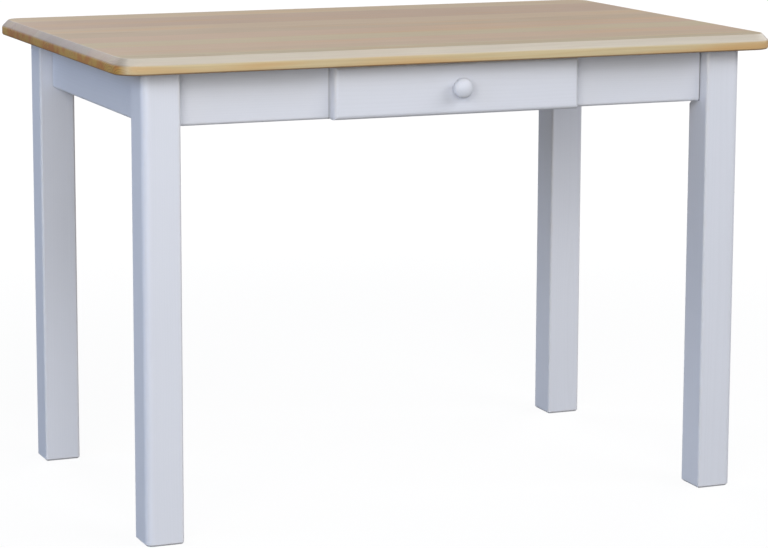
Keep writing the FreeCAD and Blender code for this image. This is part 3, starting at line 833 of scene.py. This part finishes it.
@dataclass(frozen=True)
class Studio:
    """A floor and a surround that are seen white and light the table softly, and soft lamps.

    The floor shows its shadow share near the table, and no shadow past the shadow's reach.
    """

    floor_radius: float = 24.0
    floor_corners: int = 96
    floor_colour: Colour = (0.28, 0.28, 0.28, 1.0)
    floor_seen: Colour = (0.96, 0.96, 0.96, 1.0)
    floor_glow: float = 1.03
    shadow_share: float = 0.12
    shadow_reach: tuple[float, float] = (1.2, 3.2)
    glow: Colour = (0.02, 0.02, 0.02, 1.0)
    mirrored: Colour = (0.62, 0.64, 0.70, 1.0)
    target: Triple = (0.0, 0.0, 0.5)
    lamps: tuple[Lamp, ...] = (
        Lamp("front lamp", -27.0, 17.0, 214.0, (1.0, 0.986, 0.972), 6.0, 5.0, 3.0),
        Lamp("left lamp", -80.0, 20.0, 308.0, (0.51, 0.68, 1.0)),
        Lamp("right lamp", 45.0, 31.0, 440.0, (0.935, 0.951, 1.0)),
        Lamp("side lamp", 105.0, 24.0, 356.0, (0.98, 0.99, 1.0)),
        Lamp("back lamp", 197.0, 32.0, 345.0, (0.98, 0.99, 1.0)),
    )

    def light_world(self) -> None:
        """A surround that is white where it is seen, and softly lights and is mirrored."""
        scene = bpy.context.scene
        world = bpy.data.worlds.new("surround")
        scene.world = world
        world.use_nodes = True
        world.node_tree.nodes.clear()
        graph = Graph(world.node_tree)
        rays = graph.node("LightPath").outputs
        colour = graph.blend(rays["Is Glossy Ray"], self.glow, self.mirrored)
        colour = graph.blend(rays["Is Camera Ray"], colour, WHITE)
        light = graph.node("Background", {"Color": colour, "Strength": 1.0})
        graph.node("OutputWorld", {"Surface": light.outputs[0]})

    def lay_floor(self) -> None:
        """A round white floor that keeps the table's shadow and is clear when seen from below."""
        turn = np.linspace(0.0, 2.0 * np.pi, self.floor_corners, endpoint=False)
        rim = np.stack([np.cos(turn), np.sin(turn), np.zeros_like(turn)], axis=1) * self.floor_radius
        mesh = bpy.data.meshes.new("floor")
        mesh.from_pydata(rim.tolist(), [], [list(range(len(rim)))])
        floor = bpy.data.objects.new("floor", mesh)
        bpy.context.scene.collection.objects.link(floor)
        mesh.materials.append(self.cover())

    def cover(self) -> bpy.types.Material:
        """The floor's material: cloth to all other rays, and mostly plain white to the camera's.

        Returns:
            The material.
        """
        made = bpy.data.materials.new("floor")
        made.use_nodes = True
        made.node_tree.nodes.clear()
        graph = Graph(made.node_tree)
        seen = graph.node("LightPath").outputs["Is Camera Ray"]
        cloth = graph.node("BsdfDiffuse", {
            "Color": graph.blend(seen, self.floor_colour, self.floor_seen)})
        glow = graph.node("Emission", {"Color": WHITE, "Strength": self.floor_glow})
        clear = graph.node("BsdfTransparent")
        place = graph.node("TexCoord").outputs["Object"]
        away = graph.node("VectorMath", {0: place}, operation="LENGTH").outputs["Value"]
        near, far = self.shadow_reach
        plain = graph.times(seen, graph.ease(away, near, far, 1.0 - self.shadow_share, 1.0))
        above = graph.node("MixShader", {0: plain, 1: cloth.outputs[0], 2: glow.outputs[0]})
        below = graph.times(seen, graph.node("NewGeometry").outputs["Backfacing"])
        either = graph.node("MixShader", {0: below, 1: above.outputs[0], 2: clear.outputs[0]})
        graph.node("OutputMaterial", {"Surface": either.outputs[0]})
        return made

    def build(self) -> None:
        """Sets up the surround, the floor and the lamps."""
        self.light_world()
        self.lay_floor()
        for lamp in self.lamps:
            lamp.build(self.target)
        bpy.context.scene.view_settings.view_transform = "Standard"


@dataclass(frozen=True)
class Viewpoint:
    """The camera: a long lens a little above the table top, left of its front.

    Angles are in radians, the lens and the sensor in millimetres, and sight is how far it sees.
    """

    place: Triple = (-1.7393, -4.2559, 1.1928)
    yaw: float = 0.3905
    pitch: float = 0.1652
    roll: float = 0.0032
    lens: float = 131.29
    shift_y: float = -0.0703
    sensor_width: float = 36.0
    sight: float = 100.0

    def build(self) -> None:
        """Stands the camera up and makes it the scene's own.

        Yaw turns from +Y towards +X, pitch dips the view and roll tips it clockwise.
        """
        ahead = np.array([math.sin(self.yaw) * math.cos(self.pitch),
                          math.cos(self.yaw) * math.cos(self.pitch), -math.sin(self.pitch)])
        level = np.array([math.cos(self.yaw), -math.sin(self.yaw), 0.0])
        upward = np.cross(level, ahead)
        right = math.cos(self.roll) * level + math.sin(self.roll) * upward
        top = -math.sin(self.roll) * level + math.cos(self.roll) * upward
        data = bpy.data.cameras.new("camera")
        data.sensor_width = self.sensor_width
        data.lens = self.lens
        data.shift_y = self.shift_y
        data.clip_end = self.sight
        camera = bpy.data.objects.new("camera", data)
        bpy.context.scene.collection.objects.link(camera)
        turn = Matrix((right, top, -ahead)).transposed()
        camera.matrix_world = Matrix.Translation(self.place) @ turn.to_4x4()
        bpy.context.scene.camera = camera


# ------------------------------------------------------------------ surfaces
def skin(name: str, grids: Sequence[np.ndarray]) -> bpy.types.Object:
    """Joins grids of points into one piece.

    In a grid, row i and column j make a four-sided face with the next row and the next column.
    The last column meets the first, and the first and last rows are each closed by a flat face.

    Args:
        name: the piece's name.
        grids: one array for each closed surface: rows, columns counter-clockwise, and X, Y, Z.

    Returns:
        The piece, smooth except where faces meet sharply.
    """
    points, faces, start = [], [], 0
    for grid in grids:
        rows, around = grid.shape[:2]
        at = start + np.arange(rows * around).reshape(rows, around)
        beside = np.roll(at, -1, axis=1)
        sides = np.stack([at[:-1], beside[:-1], beside[1:], at[1:]], axis=-1).reshape(-1, 4)
        faces += sides.tolist() + [at[0, ::-1].tolist(), at[-1].tolist()]
        points.append(grid.reshape(-1, 3))
        start += rows * around
    mesh = bpy.data.meshes.new(name)
    mesh.from_pydata(np.concatenate(points).tolist(), [], faces)
    mesh.shade_smooth()
    mesh.set_sharp_from_angle(angle=SHARP_ANGLE)
    piece = bpy.data.objects.new(name, mesh)
    bpy.context.scene.collection.objects.link(piece)
    return piece


def turned(radius: np.ndarray, height: np.ndarray, around: int) -> np.ndarray:
    """A surface about the Z axis: at angle a and row i, r cos a, r sin a and the row's height.

    Args:
        radius: one radius a row, or one a row and column.
        height: one height a row, or one a row and column.
        around: the number of columns.

    Returns:
        The grid.
    """
    angle = np.linspace(0.0, 2.0 * np.pi, around, endpoint=False)
    wide = np.broadcast_to(radius.reshape(len(radius), -1), (len(radius), around))
    high = np.broadcast_to(height.reshape(len(height), -1), (len(height), around))
    return np.stack([wide * np.cos(angle), wide * np.sin(angle), high], axis=-1)


def stood(grid: np.ndarray, foot: Sequence[float], way: Sequence[float]) -> np.ndarray:
    """Carries a grid made about the Z axis to a foot point, with Z turned to a direction.

    The sideways axes are the cross products of a helper axis with the direction, and of the
    direction with the result.

    Args:
        grid: the points.
        foot: where their origin goes.
        way: the direction that Z takes.

    Returns:
        The points in their place.
    """
    ahead = np.asarray(way, dtype=float) / np.linalg.norm(way)
    start = np.array([0.0, 0.0, 1.0]) if abs(ahead[2]) < 0.9 else np.array([1.0, 0.0, 0.0])
    side = np.cross(start, ahead)
    side /= np.linalg.norm(side)
    return np.asarray(foot) + grid @ np.array([side, np.cross(ahead, side), ahead])


def arc(start: float, end: float, steps: int) -> tuple[np.ndarray, np.ndarray]:
    """Cosines and sines of evenly spaced angles, in degrees."""
    angle = np.radians(np.linspace(start, end, steps))
    return np.cos(angle), np.sin(angle)


# ------------------------------------------------------------------ the table
@dataclass(frozen=True)
class TopBoard:
    """The glued pine top: rounded corners, a bevel along the upper edge and a soft lower one.

    The flat ring is the strip of the upper and the lower face next to the edge.
    """

    half_length: float = 0.550
    half_depth: float = 0.350
    low: float = 0.725
    high: float = 0.750
    corner: float = 0.038
    bevel: float = 0.0105
    bevel_round: float = 0.0065
    upper_arris: float = 0.0016
    lower_round: float = 0.0035
    flat_ring: float = 0.002
    corner_steps: int = 15

    def profile(self) -> tuple[np.ndarray, np.ndarray]:
        """The edge from the underside to the upper face.

        A quarter circle rises to the upright edge, an eighth of a circle leans that into the
        bevel at 45 degrees, and a smaller eighth lays the bevel into the upper face.

        Returns:
            How far each station lies in from the outline, and its height.
        """
        lean = math.tan(math.radians(22.5))
        cos_low, sin_low = arc(-90.0, 0.0, 7)
        cos_turn, sin_turn = arc(0.0, 45.0, 7)
        cos_top, sin_top = arc(45.0, 90.0, 5)
        turn_height = self.high - self.bevel - lean * self.bevel_round
        top_inset = self.bevel + lean * self.upper_arris
        inset = np.concatenate([
            [self.lower_round + self.flat_ring],
            self.lower_round * (1.0 - cos_low),
            self.bevel_round * (1.0 - cos_turn),
            top_inset - self.upper_arris * cos_top,
            [top_inset + self.flat_ring]])
        height = np.concatenate([
            [self.low],
            self.low + self.lower_round * (1.0 + sin_low),
            turn_height + self.bevel_round * sin_turn,
            self.high - self.upper_arris * (1.0 - sin_top),
            [self.high]])
        return inset, height

    def surface(self) -> np.ndarray:
        """The outline at every station.

        Each corner is a quarter circle about a fixed centre, whose radius is the corner's less
        the station's inset, and straight sides join the four.

        Returns:
            The grid of points.
        """
        inset, height = self.profile()
        radius = self.corner - inset
        level = np.repeat(height[:, None], self.corner_steps, axis=1)
        columns = []
        for quarter, (way_x, way_y) in enumerate(((1, 1), (-1, 1), (-1, -1), (1, -1))):
            cos, sin = arc(90.0 * quarter, 90.0 * quarter + 90.0, self.corner_steps)
            x = way_x * (self.half_length - self.corner) + radius[:, None] * cos
            y = way_y * (self.half_depth - self.corner) + radius[:, None] * sin
            columns.append(np.stack([x, y, level], axis=-1))
        return np.concatenate(columns, axis=1)

    def build(self) -> None:
        """Makes the board, finishes it and puts it in the place of the plain one."""
        board = skin("top_board", [self.surface()])
        LACQUERED_PINE.dress(board, Run.ALONG_X)
        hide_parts("tabletop")
        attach(board, "table")
        log.info("%s: %s", board.name, LACQUERED_PINE.title)


@dataclass(frozen=True)
class Dressing:
    """Sawn pieces of one finish, the run of their grain, and the seeds of their patterns."""

    finish: Finish
    run: Run
    nodes: tuple[str, ...]
    first_seed: float = 0.0
    seed_step: float = 3.7

    def dress(self) -> None:
        """Gives each piece its own copy of the finish."""
        for number, node in enumerate(self.nodes):
            seed = self.first_seed + self.seed_step * number
            self.finish.dress(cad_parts[node], self.run, seed)
            log.info("%s: %s", node, self.finish.title)


@dataclass(frozen=True)
class Underframe:
    """Legs, aprons, and the blocks, guides and bearers inside them."""

    dressings: tuple[Dressing, ...] = (
        Dressing(WHITE_PAINT, Run.UPRIGHT,
                 ("leg_front_left", "leg_front_right", "leg_back_left", "leg_back_right"), 3.0),
        Dressing(CLOSING_SHADED_PAINT, Run.ALONG_X, ("front_apron",), 21.0),
        Dressing(JOINT_SHADED_PAINT, Run.ALONG_X, ("back_apron",), 25.0),
        Dressing(JOINT_SHADED_PAINT, Run.ALONG_Y, ("left_apron", "right_apron"), 29.0),
        Dressing(BARE_PINE, Run.ALONG_X, ("top_buttons", "drawer_stop"), 40.0),
        Dressing(BARE_PINE, Run.ALONG_Y, ("drawer_guide_left", "drawer_guide_right",
                                          "drawer_bearer_left", "drawer_bearer_right"), 50.0),
    )

    def build(self) -> None:
        """Dresses every piece."""
        for dressing in self.dressings:
            dressing.dress()


@dataclass(frozen=True)
class DrawerBox:
    """The drawer: an overlay front with its knob, two sides, a back and a thin bottom."""

    dressings: tuple[Dressing, ...] = (
        Dressing(WHITE_PAINT, Run.ALONG_X, ("drawer_front",), 70.0),
        Dressing(WHITE_PAINT, Run.ALONG_Y, ("drawer_knob",), 75.0),
        Dressing(BARE_PINE, Run.ALONG_Y, ("drawer_side_left", "drawer_side_right"), 80.0),
        Dressing(BARE_PINE, Run.ALONG_X, ("drawer_back",), 90.0),
        Dressing(THIN_PANEL, Run.ALONG_X, ("drawer_bottom",), 95.0),
        Dressing(BRASS, Run.ALONG_Y, ("knob_insert",)),
        Dressing(ZINC, Run.ALONG_Y, ("knob_screw",)),
    )

    def build(self) -> None:
        """Dresses every piece."""
        for dressing in self.dressings:
            dressing.dress()


@dataclass(frozen=True)
class CornerJoints:
    """At each corner a folded plate, and a threaded bolt that its washer and nut draw tight.

    Heights along a bolt count from its plate's web towards the table's middle.
    """

    leg_x: float = 0.504
    leg_y: float = 0.314
    web_reach: float = 0.060
    height: float = 0.6825
    bolt_radius: float = 0.004
    bolt_outer: float = 0.0141
    bolt_inner: float = -0.0549
    bolt_columns: int = 20
    thread_from: float = -0.012
    thread_depth: float = 0.0006
    pitch: float = 0.00125
    rows_a_turn: int = 6
    run_in: float = 0.0005
    tip_length: float = 0.0012
    tip_depth: float = 0.0008
    nut_low: float = 0.0026
    nut_thickness: float = 0.0065
    nut_across: float = 0.013
    nut_columns: int = 60
    nut_rows: tuple[float, ...] = (0.0, 0.0003, 0.0006, 0.001, 0.002)
    chamfer_share: float = 0.98
    chamfer_slope: float = 1.7

    def thread(self) -> np.ndarray:
        """A rod about the Z axis with a screw thread on its outer part.

        The radius falls by the thread's depth as the fraction of height over pitch less angle
        over a full turn goes away from one half, and by the tip's depth towards the end.

        Returns:
            The grid of points.
        """
        turns = int(round((self.bolt_outer - self.thread_from) / self.pitch))
        outer = np.linspace(self.thread_from, self.bolt_outer, turns * self.rows_a_turn + 1)
        height = np.concatenate([[self.bolt_inner, self.thread_from - self.run_in], outer])
        rise = height[:, None]
        share = np.arange(self.bolt_columns) / self.bolt_columns
        wave = np.abs(np.mod(rise / self.pitch - share, 1.0) - 0.5) * 2.0
        cut = np.where(rise < self.thread_from, 0.0, wave * self.thread_depth)
        tip = np.clip(1.0 - (self.bolt_outer - rise) / self.tip_length, 0.0, 1.0)
        return turned(self.bolt_radius - cut - tip * self.tip_depth, height, self.bolt_columns)

    def nut(self) -> np.ndarray:
        """A hexagon about the Z axis whose corners are chamfered at both ends.

        The radius is the smaller of the hexagon's, half the width across flats over the cosine
        of the angle from the nearest flat's middle, and a cone that widens from each end.

        Returns:
            The grid of points.
        """
        angle = np.arange(self.nut_columns) * 2.0 * np.pi / self.nut_columns
        from_flat = np.mod(angle + np.pi / 6.0, np.pi / 3.0) - np.pi / 6.0
        hexagon = self.nut_across / 2.0 / np.cos(from_flat)
        rows = np.array(self.nut_rows)
        height = np.concatenate([rows, self.nut_thickness - rows[::-1]])
        near_end = np.minimum(height, self.nut_thickness - height)
        cone = self.nut_across / 2.0 * self.chamfer_share + self.chamfer_slope * near_end
        radius = np.minimum(hexagon, cone[:, None])
        return turned(radius, height + self.nut_low, self.nut_columns)

    def build(self) -> None:
        """Makes the four bolts and nuts and finishes them with the plates and washers."""
        corners = [(x, y) for x in (-1, 1) for y in (-1, 1)]
        for name, node, shape in (("bolt_threads", "hanger_bolts", self.thread()),
                                  ("chamfered_nuts", "hanger_bolt_nuts", self.nut())):
            grids = [stood(shape, (x * (self.leg_x - self.web_reach),
                                   y * (self.leg_y - self.web_reach), self.height), (-x, -y, 0))
                     for x, y in corners]
            piece = skin(name, grids)
            ZINC.dress(piece, Run.ALONG_X)
            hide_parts(node)
            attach(piece, "table")
            log.info("%s: %s", name, ZINC.title)
        Dressing(ZINC, Run.UPRIGHT, (
            "corner_bracket_front_left", "corner_bracket_front_right",
            "corner_bracket_back_left", "corner_bracket_back_right")).dress()
        Dressing(ZINC, Run.ALONG_X, ("hanger_bolt_washers",)).dress()


@dataclass(frozen=True)
class WoodScrews:
    """Cross-recessed screws in the buttons, bearers, stop, corner plates and drawer bottom.

    Inner_x and inner_y are the aprons' inner faces, and the other faces are those that heads
    lie on.
    """

    radius: float = 0.0034
    proud: float = 0.0008
    dome_share: float = 0.96
    recess_depth: float = 0.0012
    arm_half_width: float = 0.00042
    arm_length: float = 0.0019
    wall_slope: float = 0.00012
    tip_slope: float = 0.0002
    columns: int = 36
    rows: tuple[float, ...] = (1.0, 1.0, 0.95, 0.85, 0.7, 0.62, 0.54, 0.46, 0.38, 0.3, 0.22, 0.14, 0.06)
    inner_x: float = 0.464
    inner_y: float = 0.274
    button_inset: float = 0.0175
    button_along: tuple[float, float] = (0.32, 0.12)
    button_face: float = 0.707
    stop_spread: float = 0.022
    stop_y: float = -0.1955
    stop_face: float = 0.709
    bearer_face: float = 0.173
    bearer_height: float = 0.652
    bearer_rows: tuple[float, ...] = (-0.2, 0.0, 0.2)
    plate_thickness: float = 0.002
    plate_along: tuple[float, float] = (0.406, 0.216)
    plate_rows: tuple[float, float] = (0.6685, 0.6965)
    back_y: float = 0.161
    bottom_face: float = 0.668
    bottom_columns: tuple[float, ...] = (-0.13, 0.0, 0.13)

    def head(self) -> np.ndarray:
        """A low domed head about the Z axis with a cross cut into it.

        The dome's height is the root of one less the fourth power of the share of the radius.
        It is less by the recess depth where the smaller of the distances along the two arms is
        under the arm's half width and the larger one under its length.

        Returns:
            The grid of points.
        """
        share = np.array(self.rows)
        dome = self.proud * np.sqrt(np.clip(1.0 - (share * self.dome_share) ** 4, 0.0, 1.0))
        dome[0] = -self.proud
        grid = turned(share * self.radius, dome, self.columns)
        aside = np.sort(np.abs(grid[..., :2]), axis=-1)
        wall = np.clip((self.arm_half_width - aside[..., 0]) / self.wall_slope + 0.5, 0.0, 1.0)
        tip = np.clip((self.arm_length - aside[..., 1]) / self.tip_slope + 0.5, 0.0, 1.0)
        grid[..., 2] -= wall * tip * self.recess_depth
        return grid

    def table_places(self) -> list[tuple[Triple, Triple]]:
        """Where each screw in the frame stands and which way its head faces.

        Returns:
            Foot points and directions: buttons, stop, bearers, then corner plates.
        """
        far_x, far_y = self.button_along
        button_x, button_y = self.inner_x - self.button_inset, self.inner_y - self.button_inset
        buttons = [(x, y * button_y) for x in (-far_x, far_x) for y in (-1, 1)]
        buttons += [(x * button_x, y) for x in (-1, 1) for y in (-far_y, far_y)]
        places = [((x, y, self.button_face), DOWN) for x, y in buttons]
        places += [((DRAWER_X + x, self.stop_y, self.stop_face), DOWN)
                   for x in (-self.stop_spread, self.stop_spread)]
        places += [((DRAWER_X + side * self.bearer_face, y, self.bearer_height), (-side, 0.0, 0.0))
                   for side in (-1, 1) for y in self.bearer_rows]
        plate_x, plate_y = self.inner_x - self.plate_thickness, self.inner_y - self.plate_thickness
        along_x, along_y = self.plate_along
        for x in (-1, 1):
            for y in (-1, 1):
                for z in self.plate_rows:
                    places.append(((x * along_x, y * plate_y, z), (0.0, -y, 0.0)))
                    places.append(((x * plate_x, y * along_y, z), (-x, 0.0, 0.0)))
        return places

    def drawer_places(self) -> list[tuple[Triple, Triple]]:
        """The three screws that hold the drawer's bottom up to its back."""
        return [((DRAWER_X + x, self.back_y, self.bottom_face), DOWN) for x in self.bottom_columns]

    def build(self) -> None:
        """Makes the heads in two pieces, one for each body."""
        for name, body, places in (("frame_screw_heads", "table", self.table_places()),
                                   ("drawer_screw_heads", "drawer", self.drawer_places())):
            piece = skin(name, [stood(self.head(), foot, way) for foot, way in places])
            YELLOW_ZINC.dress(piece, Run.ALONG_X)
            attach(piece, body)
            log.info("%s: %d heads, %s", name, len(places), YELLOW_ZINC.title)


def main() -> None:
    """Builds the studio, the camera and the table."""
    logging.basicConfig(level=logging.INFO, format="%(name)s %(message)s")
    for part in (Studio(), Viewpoint(), TopBoard(), Underframe(), DrawerBox(), CornerJoints(),
                 WoodScrews()):
        log.info("building %s", type(part).__name__)
        part.build()


if __name__ == "__main__":
    main()
